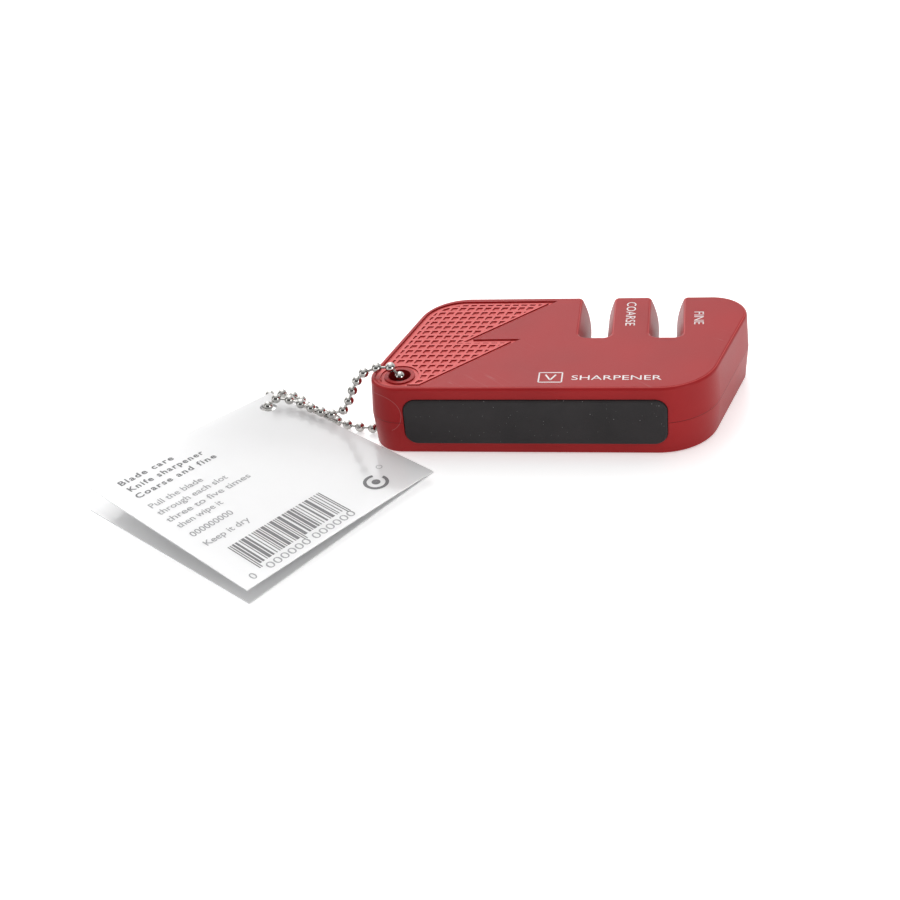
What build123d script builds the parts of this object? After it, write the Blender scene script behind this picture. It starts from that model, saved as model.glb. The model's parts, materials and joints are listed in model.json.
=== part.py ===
"""Two-stage pocket edge sharpener: moulded housing, cutters, grip pad, and a hang tag on a bead chain.

Millimetres, +Z up. The sharpener lies on its back face. The origin is the centre of that face,
+X runs along the housing, and +Y points at the edge that the two slots open through.
"""
from build123d import *
from math import asin, atan2, cos, degrees, pi, radians, sin, tan
import os

os.makedirs("parts", exist_ok=True)

# ---- Housing -------------------------------------------------------------------------------
body_t = 17.4  # thickness, back face to grip face
body_depth = 42.4  # front edge to slot edge
half_len = 38.87  # half length at mid depth
lean = 0.291  # sideways lean of the slanted ends, per unit of depth
parting_z = 8.5  # height of the joint between the two shells
bulge = 0.56  # how far the drafted walls stand out at the joint
edge_r = 0.8  # rounding of the outer face edges
wall = 2.2
floor_t = 2.4  # thickness of the two outer faces
corner_radii = (6.5, 14.0, 8.0, 12.0)  # front left, then anticlockwise
lip_out, lip_h = 1.2, 0.9  # locating lip between the shells
lip_gap = 0.1
lip_clear = 0.4  # the lip stops this far from the slot blocks and the hole

# ---- Slots ---------------------------------------------------------------------------------
slot_x = {"coarse": 7.27, "fine": 23.77}
slot_floor_y = 1.85
throat_half = 2.12  # half width at mid thickness
flare_r = 19.7  # radius of the slot walls, which flare towards both faces
slot_floor_r = 1.9
mouth_r = 1.2
tower_half = 5.9  # half width of the solid block around a slot
tower_y0 = -3.0
mid_z = body_t / 2
slot_over = 2.0  # the slot spaces run past both faces by this much
slot_past = 4.0  # and past the slot edge by this much

# ---- Grip recess in the upper face ----------------------------------------------------------
grip_depth = 0.42
waffle_drop = 0.12  # the waffle's ribs stop just under the face
groove_w = 0.9
border_w = 0.55
pitch_x, pitch_y = 2.05, 2.27
pit_x, pit_y = 1.4, 1.5
pit_start_x = -22.0
pit_rows, pit_columns = 9, 14  # rows and columns of pits each way from the start
grip_corners = [(-43.6, -20.1), (-30.8, -20.1), (-10.0, 1.0), (-21.2, 0.9), (-2.7, 19.45), (-32.1, 19.45)]
grip_rounded = {0: 5.2, 5: 10.0}  # radius at the front left and the back left corner

# ---- Lanyard hole and chain relief ----------------------------------------------------------
hole = (-36.2, -15.4)
hole_r = 2.6
hole_ring_r = 3.5
hole_boss_r = 6.6
relief_angle = 162.0  # direction in which the chain leaves the hole under the corner
relief_h = 3.3
relief_plan = [(0, -1.7), (11, -3.2), (11, 3.2), (0, 1.7)]  # fans out from the hole, so the chain can swing

# ---- Grip pad ------------------------------------------------------------------------------
pad_x0, pad_x1 = -35.0, 24.5
pad_z0, pad_z1 = 3.0, 14.4
pad_face_y, pad_back_y = -22.0, -20.5
pad_corner_r = 2.9
pad_edge_r = 0.45
pad_gap = 0.15
pad_pocket_d = 4.0  # from the pad's back to past the wall

# ---- Screws --------------------------------------------------------------------------------
screw_spots = [(-29.0, 13.0), (-14.5, -14.0), (32.5, 10.0), (19.5, -14.5)]
screw_r, screw_tip_z = 1.25, 13.2
screw_head_r, screw_head_z0, screw_head_z1 = 2.2, 1.1, 2.9
screw_boss_r = 3.2
drive_w, drive_l, drive_depth = 0.55, 2.6, 0.9
head_edge, tip_edge = 0.35, 0.7
screw_clear = 0.2  # around the screws in the lower shell
screw_hole_past = 0.3  # the blind holes run past the tips by this much

# ---- Sharpening inserts --------------------------------------------------------------------
carrier_half = 5.0
carrier_t = 2.2  # thickness of the carrier, and of its cap
carrier_corner_r = 0.8
carrier_y0, carrier_y1, cap_y1 = -1.6, 16.2, 12.8
vee_y = 3.9  # where the two cutters cross
vee_angle = 20.0  # each cutter's slope from the slot's centre line
bar_w, bar_t, bar_below, bar_above = 2.4, 1.4, 2.5, 7.5
rod_r = 1.0
bar_edge, rod_edge = 0.15, 0.2
cutter_gap = 0.02  # between the low and the high cutter where they cross
fit = 0.05

# ---- Chain ---------------------------------------------------------------------------------
chain_r = 1.2
chain_route = [
    (-53.9, -9.9, 1.5),
    (-50.2, -12.0, 1.35),
    (-46.0, -12.6, 1.35),
    (-41.6, -13.7, 1.6),
    (-36.3, -15.5, 1.7),
    (-36.5, -15.2, 7.5),
    (-36.0, -15.5, 13.5),
    (-36.2, -15.3, 19.4),
    (-41.3, -14.7, 19.3),
    (-44.8, -15.9, 18.4),
    (-46.9, -14.6, 15.0),
    (-48.6, -14.4, 11.3),
    (-50.0, -13.6, 7.6),
    (-52.7, -14.1, 5.7),
    (-57.0, -12.1, 5.5),
    (-61.8, -8.9, 5.5),
    (-66.0, -7.1, 6.1),
    (-70.8, -7.8, 6.5),
    (-70.8, -7.8, 1.25),
    (-73.5, -2.8, 1.25),
    (-74.2, 1.3, 1.25),
    (-72.1, 3.4, 1.25),
    (-68.6, 2.5, 1.25),
    (-64.9, 0.5, 1.3),
    (-62.6, -3.2, 1.4),
    (-60.4, -5.5, 1.5),
]
connector_r, connector_over, connector_edge = 1.4, 0.8, 0.35
bend_share = 0.45  # part of the shorter run that each bend takes up

# ---- Hang tag ------------------------------------------------------------------------------
tag_corner = (-71.9, -0.7)  # corner where the fold meets the short edge beside the hole
tag_turn = -35.65  # direction of the fold
tag_size = 55.0
card_t = 0.35
fold_z = 3.15  # height of the fold above the floor, held up by the chain beneath it
tag_open = 5.1  # degrees between the two leaves
fold_gap = 0.25
floor_gap = 0.02
tag_hole = (5.07, 5.15)  # from the corner, along and away from the fold
tag_hole_r = 2.0
tag_corner_r = 0.8


# ---- Shared outlines and spaces --------------------------------------------------------------
def body_outline(inset):
    """The housing's outline in plan, at its outer faces, moved inward by inset."""
    half_d = body_depth / 2
    quarters = ((-1, -1), (1, -1), (1, 1), (-1, 1))
    corners = [(sx * half_len + lean * sy * half_d, sy * half_d) for sx, sy in quarters]
    with BuildSketch() as plan:
        with BuildLine():
            Polyline(*corners, close=True)
        make_face()
        for (px, py), radius in zip(corners, corner_radii):
            nearest = min(plan.vertices(), key=lambda v: (v.X - px) ** 2 + (v.Y - py) ** 2)
            fillet(nearest, radius)
        if inset:
            offset(amount=-inset, kind=Kind.ARC)
    return plan.sketch


def slot_space(x):
    """The hourglass space of one slot, from its floor to past the slot edge."""
    z_half = mid_z + slot_over
    spread = z_half**2 / (2 * flare_r)
    length = body_depth / 2 + slot_past - slot_floor_y
    with BuildPart() as space:
        with BuildSketch(Plane.XZ.offset(-slot_floor_y)):
            with BuildLine():
                left = ThreePointArc(
                    (x - throat_half - spread, mid_z - z_half),
                    (x - throat_half, mid_z),
                    (x - throat_half - spread, mid_z + z_half),
                )
                right = ThreePointArc(
                    (x + throat_half + spread, mid_z + z_half),
                    (x + throat_half, mid_z),
                    (x + throat_half + spread, mid_z - z_half),
                )
                Line(left @ 1, right @ 0)
                Line(right @ 1, left @ 0)
            make_face()
        extrude(amount=-length)
        floor = space.faces().sort_by(Axis.Y)[0]
        fillet(floor.edges().filter_by(GeomType.CIRCLE), slot_floor_r)
    return space.part


def carrier_box(x, z0, y1, gap=0.0):
    """The block of a carrier or a cap, grown by gap on every side."""
    with BuildPart() as block:
        with BuildSketch(Plane.XY.offset(z0 - gap)):
            with Locations((x, (carrier_y0 + y1) / 2)):
                RectangleRounded(2 * (carrier_half + gap), y1 - carrier_y0 + 2 * gap, carrier_corner_r)
        extrude(amount=carrier_t + 2 * gap)
    return block.part


def cutter_plane(x, side, z):
    """The plane of one flat cutter, from where the two cross: x points up along the cutter's slope."""
    slope = radians(vee_angle)
    along = (side * sin(slope), cos(slope), 0)
    up = (0, 0, -side)
    return Plane(origin=(x, vee_y, z), x_dir=along, z_dir=up)


def bar(x, side, z, gap=0.0):
    """One carbide bar of the coarse stage, with its inner edge on the V."""
    plane = cutter_plane(x, side, z)
    with BuildPart() as body:
        with BuildSketch(plane):
            with Locations(((bar_above - bar_below) / 2, -bar_w / 2)):
                Rectangle(bar_above + bar_below + 2 * gap, bar_w + 2 * gap)
        extrude(amount=bar_t / 2 + gap, both=True)
        if not gap:
            chamfer(body.edges().filter_by(Axis.Z), bar_edge)
    return body.part


def rod(x, side, z, gap=0.0):
    """One ceramic rod of the fine stage, tangent to the V's inner edge."""
    slope = radians(vee_angle)
    along = (side * sin(slope), cos(slope), 0)
    start = (
        x - bar_below * along[0] + side * rod_r * cos(slope),
        vee_y - bar_below * along[1] - rod_r * sin(slope),
        z,
    )
    with BuildPart() as body:
        with BuildSketch(Plane(origin=start, z_dir=along)):
            Circle(rod_r + gap)
        extrude(amount=bar_below + bar_above)
        if not gap:
            chamfer(body.edges().filter_by(GeomType.CIRCLE), rod_edge)
    return body.part


slots = {name: slot_space(x) for name, x in slot_x.items()}
face_outline = body_outline(0.0)
joint_outline = body_outline(-bulge)
cavity_outline = body_outline(wall)

relief_way = (cos(radians(relief_angle)), sin(radians(relief_angle)), 0)
with BuildPart() as chain_relief:
    with BuildSketch(Plane(origin=(*hole, 0), x_dir=relief_way)):
        Polygon(*relief_plan, align=None)
    extrude(amount=relief_h)

with BuildPart() as pad_pocket:
    with BuildSketch(Plane.XZ.offset(-pad_back_y)):
        with Locations(((pad_x0 + pad_x1) / 2, (pad_z0 + pad_z1) / 2)):
            RectangleRounded(
                pad_x1 - pad_x0 + 2 * pad_gap, pad_z1 - pad_z0 + 2 * pad_gap, pad_corner_r + pad_gap
            )
    extrude(amount=pad_pocket_d)

insert_spaces = []
for x in slot_x.values():
    insert_spaces.append(carrier_box(x, mid_z - carrier_t, carrier_y1, fit))
    insert_spaces.append(carrier_box(x, mid_z, cap_y1, fit))

with BuildSketch() as cavity_plan:
    add(cavity_outline)
    for x in slot_x.values():
        with Locations((x, tower_y0 + body_depth / 2)):
            Rectangle(2 * tower_half, body_depth, mode=Mode.SUBTRACT)
    with Locations(hole):
        Circle(hole_boss_r, mode=Mode.SUBTRACT)
    with Locations(*screw_spots):
        Circle(screw_boss_r, mode=Mode.SUBTRACT)


def lip_ring(outline, clear):
    """The locating lip's plan inside an outline, kept clear of the slot blocks and the hole."""
    with BuildSketch() as ring:
        add(outline)
        add(cavity_outline, mode=Mode.SUBTRACT)
        for x in slot_x.values():
            with Locations((x, body_depth / 2)):
                Rectangle(2 * (tower_half + clear), body_depth / 2, mode=Mode.SUBTRACT)
        with Locations(hole):
            Circle(hole_boss_r + clear, mode=Mode.SUBTRACT)
    return ring.sketch


lip_plan = lip_ring(body_outline(lip_out), lip_clear)
lip_groove_plan = lip_ring(body_outline(lip_out - lip_gap), 0.0)

# The grip recess: a zone with two points, a border groove, and a waffle of small slanted pits.
with BuildSketch() as grip_plan:
    with BuildLine():
        Polyline(*grip_corners, close=True)
    make_face()
    for index, radius in grip_rounded.items():
        px, py = grip_corners[index]
        fillet(min(grip_plan.vertices(), key=lambda v: (v.X - px) ** 2 + (v.Y - py) ** 2), radius)
    with Locations(hole):
        Circle(hole_ring_r, mode=Mode.SUBTRACT)

with BuildSketch() as waffle_plan:
    add(grip_plan.sketch)
    offset(amount=-groove_w, kind=Kind.INTERSECTION)

with BuildSketch() as pit_zone:
    add(waffle_plan.sketch)
    offset(amount=-border_w, kind=Kind.INTERSECTION)

pit_spots = []
for row in range(-pit_rows, pit_rows + 1):
    for column in range(-pit_columns, pit_columns + 1):
        y = row * pitch_y
        pit_spots.append((pit_start_x + column * pitch_x + lean * y, y))
with BuildSketch() as pit_plan:
    with Locations(*pit_spots):
        half_lean = lean * pit_y / 2
        Polygon(
            (-pit_x / 2 - half_lean, -pit_y / 2),
            (pit_x / 2 - half_lean, -pit_y / 2),
            (pit_x / 2 + half_lean, pit_y / 2),
            (-pit_x / 2 + half_lean, pit_y / 2),
            align=None,
        )
    add(pit_zone.sketch, mode=Mode.INTERSECT)

# ---- Shells ----------------------------------------------------------------------------------
def slot_mouths(shell):
    """The four upright edges where the slots' walls meet the slot edge of the housing."""
    upright = shell.edges().filter_by(lambda e: e.bounding_box().size.Z > 0.8 * parting_z)
    back_y = 0.95 * body_depth / 2
    x0, x1 = slot_x["coarse"] - tower_half, slot_x["fine"] + tower_half
    return upright.filter_by(lambda e: e.center().Y > back_y and x0 < e.center().X < x1)


with BuildPart() as upper_shell:
    with BuildSketch(Plane.XY.offset(parting_z)):
        add(joint_outline)
    extrude(amount=body_t - parting_z, taper=degrees(atan2(bulge, body_t - parting_z)))
    for space in slots.values():
        add(space, mode=Mode.SUBTRACT)
    fillet(slot_mouths(upper_shell), mouth_r)
    fillet(upper_shell.faces().sort_by(Axis.Z)[-1].edges(), edge_r)
    with BuildSketch(Plane.XY.offset(parting_z)):
        add(cavity_plan.sketch)
    extrude(amount=body_t - parting_z - floor_t, mode=Mode.SUBTRACT)
    with BuildSketch(Plane.XY.offset(parting_z)):
        add(lip_groove_plan)
    extrude(amount=lip_h + lip_gap, mode=Mode.SUBTRACT)
    for space in insert_spaces:
        add(space, mode=Mode.SUBTRACT)
    add(pad_pocket.part, mode=Mode.SUBTRACT)
    with BuildSketch(Plane.XY.offset(body_t - grip_depth)):
        add(grip_plan.sketch)
        add(waffle_plan.sketch, mode=Mode.SUBTRACT)
        add(pit_plan.sketch)
    extrude(amount=2 * grip_depth, mode=Mode.SUBTRACT)
    with BuildSketch(Plane.XY.offset(body_t - waffle_drop)):
        add(waffle_plan.sketch)
    extrude(amount=grip_depth, mode=Mode.SUBTRACT)
    with BuildSketch(Plane.XY.offset(parting_z)):
        with Locations(hole):
            Circle(hole_r)
    extrude(amount=body_t, mode=Mode.SUBTRACT)
    with BuildSketch(Plane.XY.offset(parting_z)):
        with Locations(*screw_spots):
            Circle(screw_r + fit)
    extrude(amount=screw_tip_z + screw_hole_past - parting_z, mode=Mode.SUBTRACT)
upper_shell.part.label = "upper_shell"

with BuildPart() as lower_shell:
    with BuildSketch():
        add(face_outline)
    extrude(amount=parting_z, taper=-degrees(atan2(bulge, parting_z)))
    for space in slots.values():
        add(space, mode=Mode.SUBTRACT)
    fillet(slot_mouths(lower_shell), mouth_r)
    fillet(lower_shell.faces().sort_by(Axis.Z)[0].edges(), edge_r)
    with BuildSketch(Plane.XY.offset(floor_t)):
        add(cavity_plan.sketch)
    extrude(amount=parting_z, mode=Mode.SUBTRACT)
    with BuildSketch(Plane.XY.offset(parting_z)):
        add(lip_plan)
    extrude(amount=lip_h)
    for space in insert_spaces:
        add(space, mode=Mode.SUBTRACT)
    add(pad_pocket.part, mode=Mode.SUBTRACT)
    with BuildSketch():
        with Locations(hole):
            Circle(hole_r)
        with Locations(*screw_spots):
            Circle(screw_r + screw_clear)
    extrude(amount=parting_z + lip_h, mode=Mode.SUBTRACT)
    with BuildSketch():
        with Locations(*screw_spots):
            Circle(screw_head_r + screw_clear)
    extrude(amount=screw_head_z1, mode=Mode.SUBTRACT)
    add(chain_relief.part, mode=Mode.SUBTRACT)
lower_shell.part.label = "lower_shell"

# ---- Grip pad and screws -----------------------------------------------------------------------
with BuildPart() as grip_pad:
    with BuildSketch(Plane.XZ.offset(-pad_back_y)):
        with Locations(((pad_x0 + pad_x1) / 2, (pad_z0 + pad_z1) / 2)):
            RectangleRounded(pad_x1 - pad_x0, pad_z1 - pad_z0, pad_corner_r)
    extrude(amount=pad_back_y - pad_face_y)
    fillet(grip_pad.faces().sort_by(Axis.Y)[0].edges(), pad_edge_r)
grip_pad.part.label = "grip_pad"

with BuildPart() as housing_screws:
    with BuildSketch(Plane.XY.offset(screw_head_z0)):
        with Locations(*screw_spots):
            Circle(screw_head_r)
    extrude(amount=screw_head_z1 - screw_head_z0)
    chamfer(housing_screws.edges().filter_by(GeomType.CIRCLE).group_by(Axis.Z)[0], head_edge)
    with BuildSketch(Plane.XY.offset(screw_head_z1)):
        with Locations(*screw_spots):
            Circle(screw_r)
    extrude(amount=screw_tip_z - screw_head_z1)
    chamfer(housing_screws.edges().filter_by(GeomType.CIRCLE).group_by(Axis.Z)[-1], tip_edge)
    with BuildSketch(Plane.XY.offset(screw_head_z0)):
        with Locations(*screw_spots):
            Rectangle(drive_l, drive_w)
            Rectangle(drive_w, drive_l)
    extrude(amount=drive_depth, mode=Mode.SUBTRACT)
housing_screws.part.label = "housing_screws"

# ---- Sharpening inserts --------------------------------------------------------------------------
pieces = [upper_shell.part, lower_shell.part, grip_pad.part, housing_screws.part]
cutter_makers = {"coarse": (bar, bar_t / 2), "fine": (rod, rod_r)}
for stage, x in slot_x.items():
    make_cutter, half_t = cutter_makers[stage]
    low_z, high_z = mid_z - half_t - cutter_gap, mid_z + half_t + cutter_gap
    low_cutter = make_cutter(x, -1, low_z)
    high_cutter = make_cutter(x, 1, high_z)
    with BuildPart() as carrier:
        add(carrier_box(x, mid_z - carrier_t, carrier_y1))
        add(slots[stage], mode=Mode.SUBTRACT)
        add(make_cutter(x, -1, low_z, fit), mode=Mode.SUBTRACT)
    with BuildPart() as cap:
        add(carrier_box(x, mid_z, cap_y1))
        add(slots[stage], mode=Mode.SUBTRACT)
        add(make_cutter(x, 1, high_z, fit), mode=Mode.SUBTRACT)
    carrier.part.label = f"{stage}_carrier"
    cap.part.label = f"{stage}_carrier_cap"
    low_cutter.label = f"{stage}_cutter_left"
    high_cutter.label = f"{stage}_cutter_right"
    pieces += [carrier.part, cap.part, low_cutter, high_cutter]

# ---- Chain and connector ---------------------------------------------------------------------------
corners = [Vector(*spot) for spot in chain_route]
runs = [b - a for a, b in zip(corners, corners[1:])]
bend_radii = []
for before, after in zip(runs, runs[1:]):
    half_turn = radians(before.get_angle(after)) / 2
    bend_radii.append(bend_share * min(before.length, after.length) / tan(half_turn))
print("chain bend radii:", [round(radius, 1) for radius in bend_radii])

with BuildPart() as bead_chain:
    with BuildLine() as chain_path:
        FilletPolyline(*corners, radius=bend_radii)
    with BuildSketch(Plane(origin=corners[0], z_dir=runs[0])):
        Circle(chain_r)
    sweep()
bead_chain.part.label = "bead_chain"
chain_length = sum(edge.length for edge in chain_path.edges())
tube_volume = pi * chain_r**2 * chain_length
print("chain length:", round(chain_length, 2), "volume ratio:", bead_chain.part.volume / tube_volume)

span = corners[0] - corners[-1]
with BuildPart() as chain_connector:
    with BuildSketch(Plane(origin=corners[-1] - span.normalized() * connector_over, z_dir=span)):
        Circle(connector_r)
    extrude(amount=span.length + 2 * connector_over)
    fillet(chain_connector.edges().filter_by(GeomType.CIRCLE), connector_edge)
chain_connector.part.label = "chain_connector"
pieces += [bead_chain.part, chain_connector.part]

# ---- Hang tag --------------------------------------------------------------------------------------
along_fold = Vector(cos(radians(tag_turn)), sin(radians(tag_turn)), 0)
off_fold = Vector(along_fold.Y, -along_fold.X, 0)
front_drop = degrees(asin((fold_z - floor_gap) / tag_size))


def tag_leaf(drop, z):
    """One leaf of the folded card: its underside meets the fold at height z and falls by drop degrees."""
    away = off_fold * cos(radians(drop)) - Vector(0, 0, sin(radians(drop)))
    with BuildPart() as leaf:
        with BuildSketch(Plane(origin=(*tag_corner, z), x_dir=along_fold, z_dir=away.cross(along_fold))):
            with Locations((tag_size / 2, -(fold_gap + tag_size) / 2)):
                RectangleRounded(tag_size, tag_size - fold_gap, tag_corner_r)
            with Locations((tag_hole[0], -tag_hole[1])):
                Circle(tag_hole_r, mode=Mode.SUBTRACT)
        extrude(amount=card_t)
    return leaf.part


tag_front_leaf = tag_leaf(front_drop, fold_z)
tag_front_leaf.label = "tag_front_leaf"
tag_back_leaf = tag_leaf(front_drop - tag_open, fold_z + card_t + fit)
tag_back_leaf.label = "tag_back_leaf"
pieces += [tag_front_leaf, tag_back_leaf]

for piece in pieces:
    export_step(piece, f"parts/{piece.label}.step")

tag_pivot = Vector(*tag_corner) + along_fold * tag_hole[0] + off_fold * tag_hole[1]
print("tag pivot:", tag_pivot, "fold direction:", along_fold)
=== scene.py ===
"""Pocket edge sharpener with a hang tag on a bead chain: looks, print, chain and card for the CAD frame."""

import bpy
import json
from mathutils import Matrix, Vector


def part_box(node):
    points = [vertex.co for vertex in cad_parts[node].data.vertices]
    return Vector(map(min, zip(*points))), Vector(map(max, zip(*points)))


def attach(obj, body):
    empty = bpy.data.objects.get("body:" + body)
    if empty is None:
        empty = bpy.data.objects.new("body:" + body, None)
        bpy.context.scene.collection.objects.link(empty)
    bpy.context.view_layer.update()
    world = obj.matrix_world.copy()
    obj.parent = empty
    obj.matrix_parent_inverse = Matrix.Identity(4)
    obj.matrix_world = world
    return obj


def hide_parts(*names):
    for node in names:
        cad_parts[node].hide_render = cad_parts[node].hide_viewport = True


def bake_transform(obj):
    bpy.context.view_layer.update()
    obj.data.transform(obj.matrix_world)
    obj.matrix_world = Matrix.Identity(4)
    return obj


bl_info = {
    "name": "Pocket Edge Sharpener",
    "version": (1, 0, 0),
    "blender": (4, 5, 0),
    "location": "View3D > Sidebar > Sharpener",
    "description": "Builds a two-stage pocket sharpener with a hang tag on a bead chain",
    "category": "Add Mesh",
}

import json
from math import cos, pi, radians, sin
from random import Random

import bpy
from bpy.props import FloatProperty, FloatVectorProperty, PointerProperty, StringProperty
from mathutils import Matrix, Vector

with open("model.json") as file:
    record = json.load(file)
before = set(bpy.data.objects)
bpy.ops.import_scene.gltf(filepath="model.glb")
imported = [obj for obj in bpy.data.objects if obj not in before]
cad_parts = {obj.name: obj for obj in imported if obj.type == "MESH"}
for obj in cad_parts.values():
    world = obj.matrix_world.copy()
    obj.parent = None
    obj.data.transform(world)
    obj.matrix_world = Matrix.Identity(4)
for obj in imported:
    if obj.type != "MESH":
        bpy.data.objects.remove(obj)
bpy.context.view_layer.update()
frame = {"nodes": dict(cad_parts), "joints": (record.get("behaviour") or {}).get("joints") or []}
MM = 0.001
# A capital letter's height as a share of the font's size.
CAPITAL_SHARE = 0.72
JOINTS = {joint["name"]: joint for joint in frame["joints"]}

# The bead chain's route, in millimetres, from one end in the connector to the other.
CHAIN_ROUTE = [
    (-53.9, -9.9, 1.5),
    (-50.2, -12.0, 1.35),
    (-46.0, -12.6, 1.35),
    (-41.6, -13.7, 1.6),
    (-36.3, -15.5, 1.7),
    (-36.5, -15.2, 7.5),
    (-36.0, -15.5, 13.5),
    (-36.2, -15.3, 19.4),
    (-41.3, -14.7, 19.3),
    (-44.8, -15.9, 18.4),
    (-46.9, -14.6, 15.0),
    (-48.6, -14.4, 11.3),
    (-50.0, -13.6, 7.6),
    (-52.7, -14.1, 5.7),
    (-57.0, -12.1, 5.5),
    (-61.8, -8.9, 5.5),
    (-66.0, -7.1, 6.1),
    (-70.8, -7.8, 6.5),
    (-70.8, -7.8, 1.25),
    (-73.5, -2.8, 1.25),
    (-74.2, 1.3, 1.25),
    (-72.1, 3.4, 1.25),
    (-68.6, 2.5, 1.25),
    (-64.9, 0.5, 1.3),
    (-62.6, -3.2, 1.4),
    (-60.4, -5.5, 1.5),
]


# ---- Settings ------------------------------------------------------------------------------------
def colour(label, note, rgb):
    """A colour a user may change."""
    return FloatVectorProperty(
        name=label, description=note, subtype="COLOR", size=3, min=0, max=1, default=rgb
    )


def length(label, note, value):
    """A length in metres a user may change."""
    return FloatProperty(name=label, description=note, subtype="DISTANCE", unit="LENGTH", default=value)


def angle(label, note, degrees):
    """An angle, given in degrees, a user may change."""
    return FloatProperty(name=label, description=note, subtype="ANGLE", default=radians(degrees))


class HousingSettings(bpy.types.PropertyGroup):
    red: colour("Red", "Moulded plastic of the two shells", (0.38, 0.016, 0.018))
    # Painted highlight: this brighter red on the grip recess floor stands in for the light falling there.
    recess_painted_light: colour("Recess red", "Brighter as-moulded floor of the grip recess", (0.68, 0.11, 0.107))
    roughness: FloatProperty(name="Roughness", description="Satin of the plastic", default=0.36, min=0, max=1)
    parting: length("Parting height", "Height of the joint line between the shells", 8.5 * MM)
    rubber: colour("Rubber", "Grip pad on the front edge", (0.02, 0.0175, 0.0185))


class InsertSettings(bpy.types.PropertyGroup):
    carrier: colour("Carrier", "Plastic that holds the cutters", (0.02, 0.02, 0.022))
    carbide: colour("Carbide", "Bars of the coarse stage", (0.24, 0.24, 0.25))
    ceramic: colour("Ceramic", "Rods of the fine stage", (0.8, 0.78, 0.74))
    steel: colour("Screw steel", "Zinc-plated housing screws", (0.55, 0.55, 0.57))


class ChainSettings(bpy.types.PropertyGroup):
    bead: length("Bead diameter", "Width of one hollow bead", 2.4 * MM)
    pitch: length("Pitch", "Distance from bead to bead", 3.25 * MM)
    wire: length("Link diameter", "Width of the wire between two beads", 0.62 * MM)
    nickel: colour("Nickel", "Bright plating of the beads", (0.56, 0.55, 0.53))


class TagSettings(bpy.types.PropertyGroup):
    size: length("Card size", "Side of the folded card", 55.0 * MM)
    twist: length("Twist", "How far the sprung leaf's outer corners are twisted up and down", 1.6 * MM)
    droop: length("Droop", "How far the free end of the fold sags below the end held by the chain", 0.9 * MM)
    thickness: length("Card thickness", "Thickness of one leaf", 0.3 * MM)
    hole: length("Hole radius", "Punched hole for the chain", 2.0 * MM)
    white: colour("Card", "Coated face of the card", (0.8, 0.8, 0.805))
    ink: colour("Ink", "Dark print on the card", (0.11, 0.11, 0.115))
    grey: colour("Pale ink", "Small print on the card", (0.3, 0.3, 0.31))


class MarkSettings(bpy.types.PropertyGroup):
    paint: colour("Paint", "Pad-printed marks on the housing", (0.85, 0.8, 0.8))
    height: length("Letter height", "Height of the stage names", 2.35 * MM)
    word: StringProperty(name="Word", description="Plain word on the face", default="SHARPENER")


class StageSettings(bpy.types.PropertyGroup):
    floor: colour("Floor", "Plain pale floor", (0.93, 0.93, 0.93))
    lens: FloatProperty(name="Lens", description="Focal length", default=64.59, unit="CAMERA")
    place: FloatVectorProperty(
        name="Camera place", description="Where the camera stands", subtype="TRANSLATION",
        default=(32.17 * MM, -326.61 * MM, 203.85 * MM),
    )
    yaw: angle("Yaw", "Turn to the right, seen from above", -10.629)
    pitch: angle("Pitch", "Tilt down", 33.158)
    roll: angle("Roll", "Tilt of the picture", -5.598)


# ---- Node helpers --------------------------------------------------------------------------------
class Tree:
    """A node tree with short calls for adding and joining nodes."""

    def __init__(self, tree):
        self.tree = tree
        self.nodes = tree.nodes

    def add(self, kind, inputs=None, **settings):
        """A new node with its settings made and its inputs fed."""
        node = self.nodes.new(kind)
        for name, value in settings.items():
            setattr(node, name, value)
        for name, value in (inputs or {}).items():
            self.feed(node, name, value)
        return node

    def feed(self, node, name, value):
        """Joins a socket to a node's input, or sets the input's value."""
        if isinstance(value, bpy.types.NodeSocket):
            self.tree.links.new(value, node.inputs[name])
        else:
            node.inputs[name].default_value = value

    def math(self, operation, first, second=0.0, third=0.0, clamp=False):
        inputs = {0: first, 1: second, 2: third}
        return self.add("ShaderNodeMath", inputs, operation=operation, use_clamp=clamp).outputs[0]

    def split(self, vector):
        """The X, Y and Z parts of a vector."""
        return self.add("ShaderNodeSeparateXYZ", {"Vector": vector}).outputs

    def ramp(self, value, low, high, to_low=0.0, to_high=1.0):
        node = self.add(
            "ShaderNodeMapRange",
            {"Value": value, "From Min": low, "From Max": high, "To Min": to_low, "To Max": to_high},
        )
        return node.outputs["Result"]

    def mix(self, factor, first, second):
        node = self.add("ShaderNodeMix", data_type="RGBA")
        self.feed(node, 0, factor)
        self.feed(node, 6, first)
        self.feed(node, 7, second)
        return node.outputs[2]

    def noise(self, vector, scale, detail=3.0, roughness=0.5):
        inputs = {"Vector": vector, "Scale": scale, "Detail": detail, "Roughness": roughness}
        return self.add("ShaderNodeTexNoise", inputs).outputs["Fac"]


def rgba(rgb):
    """An opaque colour."""
    return (*rgb, 1.0)


def shade(rgb, share):
    """An opaque colour with its brightness scaled."""
    return rgba([share * part for part in rgb])


def shader_group(name, inputs, outputs):
    """A shader node group with named sockets: its tree, what it is given and its output node."""
    group = bpy.data.node_groups.new(name, "ShaderNodeTree")
    for label, kind, value in inputs:
        socket = group.interface.new_socket(label, in_out="INPUT", socket_type=kind)
        if value is not None:
            socket.default_value = value
    for label in outputs:
        group.interface.new_socket(label, in_out="OUTPUT", socket_type="NodeSocketFloat")
    tree = Tree(group)
    return tree, tree.add("NodeGroupInput").outputs, tree.add("NodeGroupOutput")


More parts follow.
